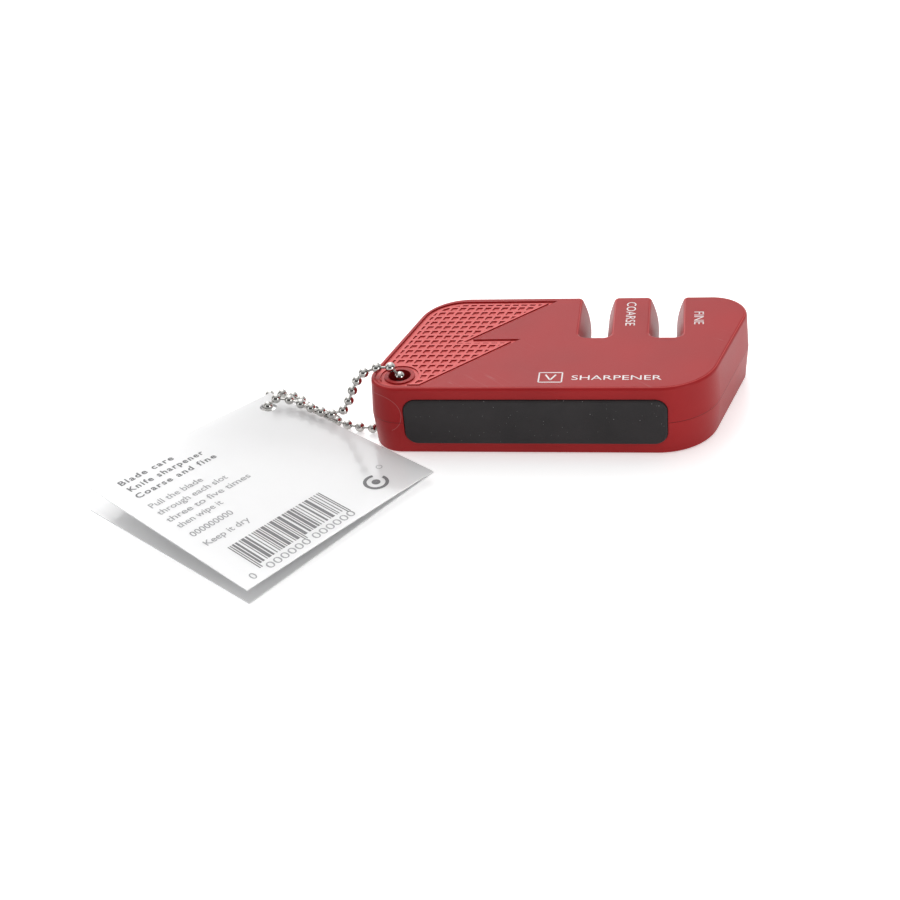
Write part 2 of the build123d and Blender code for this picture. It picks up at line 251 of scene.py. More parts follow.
def grain_group():
    """Fine moulded or rubber grain with slow waves under it."""
    tree, given, out = shader_group(
        "Grain",
        [
            ("Vector", "NodeSocketVector", None),
            ("Scale", "NodeSocketFloat", 4000.0),
            ("Waves", "NodeSocketFloat", 60.0),
        ],
        ["Height", "Tone"],
    )
    fine = tree.noise(given["Vector"], given["Scale"], 4.0, 0.6)
    slow = tree.noise(given["Vector"], given["Waves"], 2.0, 0.4)
    tree.feed(out, "Height", tree.math("MULTIPLY_ADD", slow, 0.6, fine))
    tree.feed(out, "Tone", tree.ramp(slow, 0.3, 0.7))
    return tree.tree


def scratch_group():
    """Sparse hairline scratches, slightly curved, in one main direction."""
    tree, given, out = shader_group(
        "Hairlines",
        [
            ("Vector", "NodeSocketVector", None),
            ("Scale", "NodeSocketFloat", 220.0),
            ("Turn", "NodeSocketFloat", 0.6),
            ("Amount", "NodeSocketFloat", 0.5),
        ],
        ["Mask"],
    )
    bend = tree.add("ShaderNodeTexNoise", {"Vector": given["Vector"], "Scale": 45.0, "Detail": 0.0})
    push = tree.add(
        "ShaderNodeVectorMath", {0: bend.outputs["Color"], 1: (3 * MM, 3 * MM, 3 * MM)}, operation="MULTIPLY"
    )
    bent = tree.add("ShaderNodeVectorMath", {0: given["Vector"], 1: push.outputs[0]}, operation="ADD")
    turned = tree.add(
        "ShaderNodeVectorRotate", {"Vector": bent.outputs[0], "Angle": given["Turn"]}, rotation_type="Z_AXIS"
    )
    stretched = tree.add("ShaderNodeMapping", {"Vector": turned.outputs[0], "Scale": (0.03, 1.0, 1.0)})
    lines = tree.noise(stretched.outputs[0], given["Scale"], 2.0)
    ridge = tree.math("ABSOLUTE", tree.math("SUBTRACT", lines, 0.5))
    thin = tree.ramp(ridge, 0.0, 0.006, 1.0, 0.0)
    patch = tree.ramp(tree.noise(given["Vector"], 90.0, 1.0), 0.55, 0.66)
    kept = tree.math("MULTIPLY", thin, patch)
    tree.feed(out, "Mask", tree.math("MULTIPLY", kept, given["Amount"], clamp=True))
    return tree.tree


def dust_group():
    """Separate small specks, some of the cells of a scattered pattern."""
    tree, given, out = shader_group(
        "Dust",
        [
            ("Vector", "NodeSocketVector", None),
            ("Scale", "NodeSocketFloat", 900.0),
            ("Share", "NodeSocketFloat", 0.08),
        ],
        ["Mask"],
    )
    cells = tree.add("ShaderNodeTexVoronoi", {"Vector": given["Vector"], "Scale": given["Scale"]})
    pick = tree.add("ShaderNodeSeparateColor", {"Color": cells.outputs["Color"]})
    chosen = tree.math("LESS_THAN", pick.outputs[0], given["Share"])
    reach = tree.ramp(pick.outputs[1], 0.0, 1.0, 0.08, 0.3)
    near = tree.math("LESS_THAN", cells.outputs["Distance"], reach)
    tree.feed(out, "Mask", tree.math("MULTIPLY", chosen, near))
    return tree.tree


def fibre_group():
    """One thin stray fibre: most of a circle seen from the front, on the front left corner only."""
    tree, given, out = shader_group(
        "Fibre",
        [
            ("Vector", "NodeSocketVector", None),
            ("Across", "NodeSocketFloat", 0.0),
            ("Height", "NodeSocketFloat", 0.0),
            ("Reach", "NodeSocketFloat", 5.0 * MM),
            ("Width", "NodeSocketFloat", 0.1 * MM),
        ],
        ["Mask"],
    )
    parts = tree.split(given["Vector"])
    across = tree.math("SUBTRACT", parts["X"], given["Across"])
    above = tree.math("SUBTRACT", parts["Z"], given["Height"])
    squares = tree.math("MULTIPLY_ADD", across, across, tree.math("MULTIPLY", above, above))
    away = tree.math("ABSOLUTE", tree.math("SUBTRACT", tree.math("SQRT", squares), given["Reach"]))
    thin = tree.math("LESS_THAN", away, given["Width"])
    right = tree.math("GREATER_THAN", across, tree.math("MULTIPLY", above, -0.5))
    front = tree.math("LESS_THAN", parts["Y"], -15.0 * MM)
    kept = tree.math("MULTIPLY", thin, tree.math("MULTIPLY", right, front))
    tree.feed(out, "Mask", tree.math("MULTIPLY", kept, 0.28))
    return tree.tree


EFFECTS = {"Grain": grain_group, "Hairlines": scratch_group, "Fibre": fibre_group, "Dust": dust_group}


def effect(tree, name, vector, **values):
    """A shared shader effect placed in a material's tree with its own values."""
    group = bpy.data.node_groups.get(name) or EFFECTS[name]()
    node = tree.add("ShaderNodeGroup", node_tree=group)
    tree.feed(node, "Vector", vector)
    for label, value in values.items():
        tree.feed(node, label, value)
    return node.outputs


def start_material(name):
    """A new material: its tree, its shader and the object coordinates."""
    material = bpy.data.materials.new(name)
    material.use_nodes = True
    tree = Tree(material.node_tree)
    shader = next(node for node in tree.nodes if node.type == "BSDF_PRINCIPLED")
    place = tree.add("ShaderNodeTexCoord").outputs["Object"]
    return material, tree, shader, place


def bump(tree, shader, height, distance):
    """Relief from a height value, in metres at full height."""
    node = tree.add("ShaderNodeBump", {"Height": height, "Distance": distance, "Strength": 1.0})
    tree.feed(shader, "Normal", node.outputs[0])


# ---- Materials -----------------------------------------------------------------------------------
def red_plastic(settings):
    """Satin red moulding with grain, hairlines and a stray fibre, with painted light on the recess floor and
    painted shade along the seam.
    """
    material, tree, shader, place = start_material("red_moulded_plastic")
    shader.inputs["Specular IOR Level"].default_value = 0.24
    shader.inputs["Specular Tint"].default_value = (1.0, 0.72, 0.72, 1.0)
    height = tree.split(place)["Z"]
    facing = tree.split(tree.add("ShaderNodeNewGeometry").outputs["Normal"])["Z"]
    level = tree.ramp(tree.math("ABSOLUTE", facing), 0.8, 0.95)
    grain = effect(tree, "Grain", place, Scale=5200.0, Waves=55.0)
    hairs = effect(tree, "Hairlines", place, Scale=260.0, Turn=0.7, Amount=0.14)["Mask"]
    fibre = effect(
        tree, "Fibre", place, Across=-40.2 * MM, Height=10.4 * MM, Reach=4.6 * MM, Width=0.07 * MM
    )["Mask"]
    lines = tree.math("MAXIMUM", tree.math("MULTIPLY", hairs, level), fibre)
    rough = tree.ramp(grain["Height"], 0.4, 1.2, settings.roughness - 0.05, settings.roughness + 0.06)
    tree.feed(shader, "Roughness", tree.math("MULTIPLY_ADD", lines, 0.15, rough))
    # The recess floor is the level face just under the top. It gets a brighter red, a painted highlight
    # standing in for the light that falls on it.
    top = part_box("upper_shell")[1][2]
    under = tree.math("LESS_THAN", height, top - 0.06 * MM)
    shallow = tree.math("GREATER_THAN", height, top - 0.6 * MM)
    recess_painted_light = tree.math("MULTIPLY", level, tree.math("MULTIPLY", under, shallow))
    # Painted shade: a dark line at the parting height stands in for the shadow in the joint between the
    # shells; the bump adds a shallow groove there too.
    away = tree.math("ABSOLUTE", tree.math("SUBTRACT", height, settings.parting))
    seam_painted_shade = tree.ramp(away, 0.03 * MM, 0.09 * MM, 1.0, 0.0)
    relief = tree.math("SUBTRACT", grain["Height"], lines)
    bump(tree, shader, tree.math("MULTIPLY_ADD", seam_painted_shade, -4.0, relief), 0.012 * MM)
    worn = [0.55 * part + 0.45 * 0.6 for part in settings.red]
    toned = tree.mix(grain["Tone"], shade(settings.red, 0.86), rgba(settings.red))
    # Painted highlight: the recess floor takes the brighter red in place of the light that falls on it.
    lit = tree.mix(recess_painted_light, toned, rgba(settings.recess_painted_light))
    base = tree.mix(lines, lit, rgba(worn))
    # Painted shade: along the seam the base colour is darkened to 0.3 of the red.
    tree.feed(shader, "Base Color", tree.mix(seam_painted_shade, base, shade(settings.red, 0.3)))
    return material


def pad_rubber(settings):
    """Matt black rubber with a dusting of pale specks."""
    material, tree, shader, place = start_material("pad_rubber")
    grain = effect(tree, "Grain", place, Scale=3000.0, Waves=140.0)
    specks = effect(tree, "Dust", place, Scale=1900.0, Share=0.08)["Mask"]
    pale = [0.75 + 0.25 * part for part in settings.rubber]
    toned = tree.mix(grain["Tone"], rgba(settings.rubber), shade(settings.rubber, 1.5))
    tree.feed(shader, "Base Color", tree.mix(tree.math("MULTIPLY", specks, 0.22), toned, rgba(pale)))
    tree.feed(shader, "Roughness", tree.ramp(grain["Height"], 0.4, 1.2, 0.62, 0.8))
    shader.inputs["Specular IOR Level"].default_value = 0.35
    bump(tree, shader, tree.math("ADD", grain["Height"], specks), 0.03 * MM)
    return material


def plain_finish(name, rgb, rough, metallic=0.0, scale=2500.0, depth=0.01):
    """A small part's finish: one colour, broken by grain in its tone, gloss and relief."""
    material, tree, shader, place = start_material(name)
    grain = effect(tree, "Grain", place, Scale=scale, Waves=300.0)
    tree.feed(shader, "Base Color", tree.mix(grain["Tone"], shade(rgb, 0.82), rgba(rgb)))
    tree.feed(shader, "Roughness", tree.ramp(grain["Height"], 0.4, 1.2, 0.8 * rough, 1.25 * rough))
    shader.inputs["Metallic"].default_value = metallic
    bump(tree, shader, grain["Height"], depth * MM)
    return material


def card_white(settings):
    """Coated white card: smooth and glossy, with faint fibre under the coat."""
    material, tree, shader, place = start_material("coated_card")
    grain = effect(tree, "Grain", place, Scale=1800.0, Waves=45.0)
    toned = tree.mix(grain["Tone"], shade(settings.white, 0.97), rgba(settings.white))
    tree.feed(shader, "Base Color", toned)
    tree.feed(shader, "Roughness", tree.ramp(grain["Height"], 0.4, 1.2, 0.1, 0.2))
    shader.inputs["Subsurface Weight"].default_value = 0.7
    shader.inputs["Subsurface Radius"].default_value = (1.0, 1.0, 1.0)
    shader.inputs["Subsurface Scale"].default_value = 0.8 * MM
    bump(tree, shader, grain["Height"], 0.006 * MM)
    return material


# ---- Mesh helpers --------------------------------------------------------------------------------
def piece_from(name, vertices, faces, material, smooth=False, links=()):
    """A mesh object at the origin, with its place held in its mesh."""
    mesh = bpy.data.meshes.new(name)
    mesh.from_pydata([tuple(vertex) for vertex in vertices], list(links), faces)
    mesh.validate()
    mesh.materials.append(material)
    mesh.polygons.foreach_set("use_smooth", [smooth] * len(mesh.polygons))
    piece = bpy.data.objects.new(name, mesh)
    bpy.context.scene.collection.objects.link(piece)
    return piece


def baked(piece):
    """The piece's mesh with its modifiers worked in and removed."""
    bpy.context.view_layer.update()
    ready = piece.evaluated_get(bpy.context.evaluated_depsgraph_get())
    mesh = bpy.data.meshes.new_from_object(ready)
    old = piece.data
    piece.modifiers.clear()
    piece.data = mesh
    mesh.name = old.name
    mesh.set_sharp_from_angle(angle=radians(40))
    bpy.data.meshes.remove(old)
    return piece


def thicken(piece, thickness):
    """Turns a sheet into a closed wall, half to each side."""
    wall = piece.modifiers.new("wall", "SOLIDIFY")
    wall.thickness, wall.offset = thickness, 0.0
    baked(piece)


def strip_faces(rows, columns, closed=False):
    """Four-sided faces of a grid of points; a closed grid joins its last column to its first."""
    faces = []
    for row in range(rows - 1):
        for column in range(columns if closed else columns - 1):
            after = (column + 1) % columns
            first, next_row = row * columns, (row + 1) * columns
            faces.append((first + column, first + after, next_row + after, next_row + column))
    return faces


def ring_points(radius, turns):
    """Points of a circle, counter-clockwise from its right."""
    angles = [2 * pi * turn / turns for turn in range(turns)]
    return [(radius * cos(angle), radius * sin(angle)) for angle in angles]


def curve_mesh(curve):
    """The places of the vertices and the faces of a curve or text once it is evaluated."""
    holder = bpy.data.objects.new(curve.name, curve)
    bpy.context.scene.collection.objects.link(holder)
    bpy.context.view_layer.update()
    mesh = bpy.data.meshes.new_from_object(holder.evaluated_get(bpy.context.evaluated_depsgraph_get()))
    places = [vertex.co.copy() for vertex in mesh.vertices]
    faces = [tuple(face.vertices) for face in mesh.polygons]
    bpy.data.objects.remove(holder)
    bpy.data.curves.remove(curve)
    bpy.data.meshes.remove(mesh)
    return places, faces


def text_outline(words, height, spread=1.0, weight=0.0):
    """A line of plain letters as flat mesh data, in metres from its left end."""
    curve = bpy.data.curves.new("letters", "FONT")
    curve.body = words
    curve.size = height / CAPITAL_SHARE
    curve.space_character = spread
    curve.offset = weight * curve.size
    curve.resolution_u = 3
    return curve_mesh(curve)


class Print:
    """Flat printed shapes gathered as one mesh, with each point placed by a function of (u, v)."""

    def __init__(self, place):
        self.place = place
        self.vertices = []
        self.faces = []

    def shape(self, points, faces):
        """Adds a flat shape of points and faces."""
        start = len(self.vertices)
        self.vertices += [self.place(u, v) for u, v in points]
        self.faces += [tuple(start + index for index in face) for face in faces]

    def words(self, text, u, v, height, width=None, spread=1.0, weight=0.0):
        """A line of letters from (u, v), stretched to the given width."""
        points, faces = text_outline(text, height, spread, weight)
        stretch = width / max(point.x for point in points) if width else 1.0
        self.shape([(u + point.x * stretch, v + point.y) for point in points], faces)

    def bar(self, u, v, width, height, cuts=4):
        """An upright bar, cut across so that it follows a bowed sheet."""
        points = [(u + width * side, v + height * step / cuts) for step in range(cuts + 1) for side in (0, 1)]
        self.shape(points, strip_faces(cuts + 1, 2))

    def ring(self, u, v, outer, inner, start=0.0, turn=2 * pi, steps=48):
        """A flat ring, or the part of it that the turn covers."""
        points = []
        for step in range(steps + 1):
            angle = start + turn * step / steps
            points += [(u + radius * cos(angle), v + radius * sin(angle)) for radius in (inner, outer)]
        self.shape(points, strip_faces(steps + 1, 2))

    def stroke(self, points, width):
        """A line of even width through the points, with square ends."""
        for start, end in zip(map(Vector, points), map(Vector, points[1:])):
            side = (end - start).orthogonal().normalized() * width / 2
            corners = [start - side, end - side, end + side, start + side]
            self.shape([tuple(corner) for corner in corners], [(0, 1, 2, 3)])

    def piece(self, name, material):
        """The print as one mesh object."""
        return piece_from(name, self.vertices, self.faces, material)


# ---- Operators -----------------------------------------------------------------------------------
def paint_node(name, material):
    """Gives a CAD node its finish."""
    node = frame["nodes"][name]
    node.data.materials.clear()
    node.data.materials.append(material)


class SHARPENER_OT_stage(bpy.types.Operator):
    """Sets up the floor, the soft light and the camera"""

    bl_idname = "sharpener.stage"
    bl_label = "Stage"

    def execute(self, context):
        settings = context.scene.sharpener_stage
        self.floor(settings)
        self.sky(context.scene)
        self.lamps()
        self.camera(context.scene, settings)
        context.scene.view_settings.view_transform = "Standard"
        return {"FINISHED"}

    def floor(self, settings):
        """A pale sheet that glows a little, more to the camera than to the object."""
        material, tree, shader, place = start_material("pale_floor")
        tone = tree.noise(place, 3.0)
        low = [0.985 * part for part in settings.floor]
        tree.feed(shader, "Base Color", tree.mix(tone, rgba(low), rgba(settings.floor)))
        shader.inputs["Roughness"].default_value = 0.35
        shader.inputs["Emission Color"].default_value = (1, 1, 1, 1)
        seen = tree.add("ShaderNodeLightPath").outputs["Is Camera Ray"]
        tree.feed(shader, "Emission Strength", tree.ramp(seen, 0.0, 1.0, 0.28, 0.45))
        reach = 4.0
        corners = [(-reach, -reach, 0), (reach, -reach, 0), (reach, reach, 0), (-reach, reach, 0)]
        piece_from("floor", corners, [(0, 1, 2, 3)], material)

    def sky(self, scene):
        """Soft light from behind and above; the camera sees plain white."""
        world = bpy.data.worlds.new("studio")
        world.use_nodes = True
        tree = Tree(world.node_tree)
        scene.world = world
        back = next(node for node in tree.nodes if node.type == "BACKGROUND")
        parts = tree.split(tree.add("ShaderNodeTexCoord").outputs["Generated"])
        rear = tree.ramp(parts["Y"], 0.0, 0.5, 0.0, 0.9)
        left = tree.ramp(parts["X"], -0.4, 0.0, 1.7, 1.0)
        over = tree.ramp(parts["Z"], 0.45, 0.9, 0.05, 0.85)
        soft = tree.math("MAXIMUM", tree.math("MULTIPLY", rear, left), over)
        seen = tree.add("ShaderNodeLightPath").outputs["Is Camera Ray"]
        tree.feed(back, "Strength", tree.math("MAXIMUM", soft, seen))
        tree.feed(back, "Color", (1.0, 1.0, 1.0, 1.0))

    def lamps(self):
        """Soft boxes aimed at the object: place, width, depth and power."""
        for name, spot, width, depth, power in (
            ("rear_softbox", (-0.25, 0.7, 0.75), 0.8, 0.5, 3.2),
            ("top_softbox", (-0.1, 0.2, 0.9), 0.8, 0.6, 1.4),
            ("right_softbox", (0.6, -0.5, 0.15), 0.4, 0.25, 1.4),
            ("left_fill", (-0.7, -0.4, 0.22), 0.4, 0.4, 0.8),
        ):
            light = bpy.data.lights.new(name, "AREA")
            light.shape = "RECTANGLE"
            light.size, light.size_y, light.energy = width, depth, power
            lamp = bpy.data.objects.new(name, light)
            lamp.location = spot
            lamp.rotation_euler = Vector(spot).to_track_quat("Z", "Y").to_euler()
            bpy.context.scene.collection.objects.link(lamp)

    def camera(self, scene, settings):
        """The camera at its place, turned by its yaw, pitch and roll."""
        yaw, pitch, roll = settings.yaw, settings.pitch, settings.roll
        look = Vector((sin(yaw) * cos(pitch), cos(yaw) * cos(pitch), -sin(pitch)))
        level = Vector((cos(yaw), -sin(yaw), 0))
        upright = level.cross(look)
        right = level * cos(roll) + upright * sin(roll)
        up = upright * cos(roll) - level * sin(roll)
        data = bpy.data.cameras.new("view")
        data.lens = settings.lens
        data.sensor_width = 36.0
        data.clip_start = 0.01
        camera = bpy.data.objects.new("view", data)
        turn = Matrix((right, up, -look)).transposed().to_4x4()
        camera.matrix_world = Matrix.Translation(settings.place) @ turn
        scene.collection.objects.link(camera)
        scene.camera = camera


class SHARPENER_OT_housing(bpy.types.Operator):
    """Gives the shells and the grip pad their moulded plastic and rubber"""

    bl_idname = "sharpener.housing"
    bl_label = "Housing"

    def execute(self, context):
        settings = context.scene.sharpener_housing
        red = red_plastic(settings)
        for name in ("upper_shell", "lower_shell"):
            paint_node(name, red)
        paint_node("grip_pad", pad_rubber(settings))
        return {"FINISHED"}


class SHARPENER_OT_inserts(bpy.types.Operator):
    """Gives the carriers, cutters and screws their finishes"""

    bl_idname = "sharpener.inserts"
    bl_label = "Inserts and screws"

    def execute(self, context):
        settings = context.scene.sharpener_inserts
        carrier = plain_finish("carrier_plastic", settings.carrier, 0.5)
        carbide = plain_finish("ground_carbide", settings.carbide, 0.32, metallic=1.0, scale=6000.0)
        ceramic = plain_finish("white_ceramic", settings.ceramic, 0.55, scale=9000.0)
        steel = plain_finish("screw_steel", settings.steel, 0.3, metallic=1.0)
        for stage, cutter in (("coarse", carbide), ("fine", ceramic)):
            for part in ("carrier", "carrier_cap"):
                paint_node(f"{stage}_{part}", carrier)
            for side in ("left", "right"):
                paint_node(f"{stage}_cutter_{side}", cutter)
        paint_node("housing_screws", steel)
        return {"FINISHED"}


class SHARPENER_OT_marks(bpy.types.Operator):
    """Prints the stage names, a small emblem and a plain word on the upper face"""

    bl_idname = "sharpener.marks"
    bl_label = "Printed marks"

    def execute(self, context):
        settings = context.scene.sharpener_marks
        paint = plain_finish("mark_paint", settings.paint, 0.45, scale=7000.0, depth=0.004)
        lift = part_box("upper_shell")[1][2] + 0.015 * MM
        sideways = Print(lambda u, v: Vector((v, -u, lift)))  # read from the right-hand side
        sideways.words("COARSE", -18.6 * MM, 14.15 * MM, settings.height, 11.6 * MM)
        sideways.words("FINE", -13.7 * MM, 30.15 * MM, settings.height, 6.3 * MM)
        stages = sideways.piece("stage_names", paint)
        face = Print(lambda u, v: Vector((u, v, lift)))
        face.words(settings.word, 3.0 * MM, -17.6 * MM, 2.0 * MM, 20.2 * MM)
        self.emblem(face, -1.6 * MM, -16.5 * MM, 2.6 * MM)
        word = face.piece("face_marks", paint)
        for piece in (stages, word):
            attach(piece, "housing")
        return {"FINISHED"}

    def emblem(self, face, u, v, reach):
        """A square frame with a V in it, the sign of the sharpening notch."""
        line = 0.32 * MM
        square = [(-1, -0.8), (1, -0.8), (1, 0.8), (-1, 0.8), (-1, -0.8)]
        face.stroke([(u + reach * x, v + reach * y) for x, y in square], line)
        vee = [(-0.45, 0.45), (0.0, -0.45), (0.45, 0.45)]
        face.stroke([(u + reach * x, v + reach * y) for x, y in vee], 1.2 * line)


def chain_line():
    """Points of the chain's smooth line, a spline with the route as its control points."""
    curve = bpy.data.curves.new("chain_line", "CURVE")
    curve.dimensions = "3D"
    spline = curve.splines.new("NURBS")
    spline.points.add(len(CHAIN_ROUTE) - 1)
    for point, spot in zip(spline.points, CHAIN_ROUTE):
        point.co = (*(part * MM for part in spot), 1.0)
    spline.order_u = 3
    spline.use_endpoint_u = True
    spline.resolution_u = 12
    return curve_mesh(curve)[0]


def bead_shape(radius, mouth, material):
    """One hollow bead: a ball with a turned-in lip at each end of its bore."""
    turns, rings = 20, 10
    start = 0.5 * pi - mouth / radius
    profile = [(0.72 * mouth, 0.86 * radius), (0.9 * mouth, 0.97 * radius)]
    for ring in range(rings + 1):
        angle = start - 2 * start * ring / rings
        profile.append((radius * cos(angle), radius * sin(angle)))
    profile += [(0.9 * mouth, -0.97 * radius), (0.72 * mouth, -0.86 * radius)]
    profile.reverse()
    vertices = [(x, y, z) for width, z in profile for x, y in ring_points(width, turns)]
    faces = strip_faces(len(profile), turns, closed=True)
    faces.append(tuple(reversed(range(turns))))
    faces.append(tuple(range((len(profile) - 1) * turns, len(profile) * turns)))
    return piece_from("bead", vertices, faces, material, smooth=True)


def bead_tree(bead, material):
    """Geometry nodes that string beads at an even pitch on a wire along the given line."""
    group = bpy.data.node_groups.new("Bead string", "GeometryNodeTree")
    group.interface.new_socket("Line", in_out="INPUT", socket_type="NodeSocketGeometry")
    for label in ("Pitch", "Wire radius"):
        group.interface.new_socket(label, in_out="INPUT", socket_type="NodeSocketFloat")
    group.interface.new_socket("Chain", in_out="OUTPUT", socket_type="NodeSocketGeometry")
    tree = Tree(group)
    given = tree.add("NodeGroupInput").outputs
    out = tree.add("NodeGroupOutput")
    curve = tree.add("GeometryNodeMeshToCurve", {"Mesh": given["Line"]}).outputs[0]
    even = tree.add("GeometryNodeResampleCurve", {"Curve": curve, "Length": given["Pitch"]}, mode="LENGTH")
    ball = tree.add("GeometryNodeObjectInfo", {"Object": bead})
    tangent = tree.add("GeometryNodeInputTangent").outputs[0]
    turn = tree.add("FunctionNodeAlignRotationToVector", {"Vector": tangent}, axis="Z")
    balls = tree.add(
        "GeometryNodeInstanceOnPoints",
        {"Points": even.outputs[0], "Instance": ball.outputs["Geometry"], "Rotation": turn.outputs[0]},
    )
    ring = tree.add("GeometryNodeCurvePrimitiveCircle", {"Resolution": 10, "Radius": given["Wire radius"]})
    wire = tree.add(
        "GeometryNodeCurveToMesh",
        {"Curve": even.outputs[0], "Profile Curve": ring.outputs[0], "Fill Caps": True},
    )
    both = tree.add("GeometryNodeJoinGeometry")
    tree.tree.links.new(wire.outputs[0], both.inputs[0])
    tree.tree.links.new(balls.outputs[0], both.inputs[0])
    real = tree.add("GeometryNodeRealizeInstances", {"Geometry": both.outputs[0]})
    smooth = tree.add("GeometryNodeSetShadeSmooth", {0: real.outputs[0]})
    painted = tree.add("GeometryNodeSetMaterial", {"Geometry": smooth.outputs[0], "Material": material})
    tree.feed(out, "Chain", painted.outputs[0])
    return group


def set_input(modifier, label, value):
    """Sets a modifier's named input by its socket identifier."""
    for item in modifier.node_group.interface.items_tree:
        if item.item_type == "SOCKET" and item.in_out == "INPUT" and item.name == label:
            modifier[item.identifier] = value
            return
    raise RuntimeError(f"no input named {label}")


class SHARPENER_OT_chain(bpy.types.Operator):
    """Strings the bead chain along its route and closes it with its connector"""

    bl_idname = "sharpener.chain"
    bl_label = "Bead chain"

    def execute(self, context):
        settings = context.scene.sharpener_chain
        nickel = plain_finish("bright_nickel", settings.nickel, 0.09, metallic=1.0, scale=5000.0, depth=0.002)
        line = chain_line()
        links = [(spot, spot + 1) for spot in range(len(line) - 1)]
        chain = piece_from("chain_beads", line, [], nickel, links=links)
        bead = bead_shape(settings.bead / 2, 0.15 * settings.bead, nickel)
        string = chain.modifiers.new("beads", "NODES")
        string.node_group = bead_tree(bead, nickel)
        set_input(string, "Pitch", settings.pitch)
        set_input(string, "Wire radius", settings.wire / 2)
        baked(chain)
        bpy.data.objects.remove(bead)
        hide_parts("bead_chain")
        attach(chain, "chain")
        connector = self.connector(settings, nickel, line)
        total = sum((after - spot).length for spot, after in zip(line, line[1:]))
        tuple(line[0])
        [tuple(point) for point in line]
        return {"FINISHED"}

    def connector(self, settings, nickel, line):
        """The channel that holds the chain's two end beads: a rolled sheet, open along one side."""
        start, end = line[-1], line[0]
        axis = (end - start).normalized()
        side = axis.cross(Vector((0, 0, 1))).normalized()
        up = side.cross(axis)
        radius = 1.3 * MM
        over = 0.8 * MM
        gap = radians(70)
        steps, rows = 22, 10
        reach = (end - start).length + 2 * over
        vertices = []
        for row in range(rows + 1):
            along = row / rows
            pinch = 1 - 0.16 * max(0.0, abs(2 * along - 1) * 6 - 5)
            centre = start + axis * (reach * along - over)
            for step in range(steps + 1):
                angle = 0.5 * pi + gap / 2 + (2 * pi - gap) * step / steps
                vertices.append(centre + (side * cos(angle) + up * sin(angle)) * radius * pinch)
        faces = strip_faces(rows + 1, steps + 1)
        piece = piece_from("connector_channel", vertices, faces, nickel, smooth=True)
        thicken(piece, 0.2 * MM)
        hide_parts("chain_connector")
        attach(piece, "chain")
        return piece


class Card:
    """The folded card's shape: u along the fold, v away from it, one leaf up and one down."""

    def __init__(self, settings):
        fold = JOINTS["tag_fold"]
        self.along = -Vector(fold["axis"]).normalized()
        self.size = settings.size
        self.corner = Vector(fold["pos_m"]) - self.along * self.size / 2
        self.away = Vector((self.along.y, -self.along.x, 0))
        self.thickness = settings.thickness
        self.twist = settings.twist
        self.droop = settings.droop
        self.front_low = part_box("tag_front_leaf")[0][2]
        self.back_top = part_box("tag_back_leaf")[1][2]
        self.fold_z = self.corner.z

    def lower(self, u, v):
        """Mid surface of the lower leaf: it rests on the floor along its far edge."""
        share = v / self.size
        drop = self.fold_z - self.thickness - self.front_low
        sag = self.droop * (1 - share) * u / self.size
        return self.spot(u, v, self.fold_z - 0.5 * self.thickness - drop * share - sag)

    def upper(self, u, v):
        """Mid surface of the upper leaf: it springs open a little and bows."""
        share = v / self.size
        rise = self.back_top - self.fold_z - self.thickness
        twist = self.twist * (1 - 2 * u / self.size)
        bow = 0.2 * MM * sin(pi * share)
        sag = self.droop * (1 - 0.7 * share) * u / self.size
        return self.spot(u, v, self.fold_z + 0.5 * self.thickness + (rise + twist) * share + bow - sag)

    def bend(self, u, angle):
        """The tight half round that joins the leaves, from the lower leaf at no angle to the upper."""
        radius = 0.5 * self.thickness
        sag = self.droop * u / self.size
        return self.spot(u, radius * (1 - sin(angle)), self.fold_z - radius * cos(angle) - sag)

    def spot(self, u, v, height):
        """The point at u and v at a height over the floor."""
        place = self.corner + self.along * u + self.away * v
        return Vector((place.x, place.y, height))


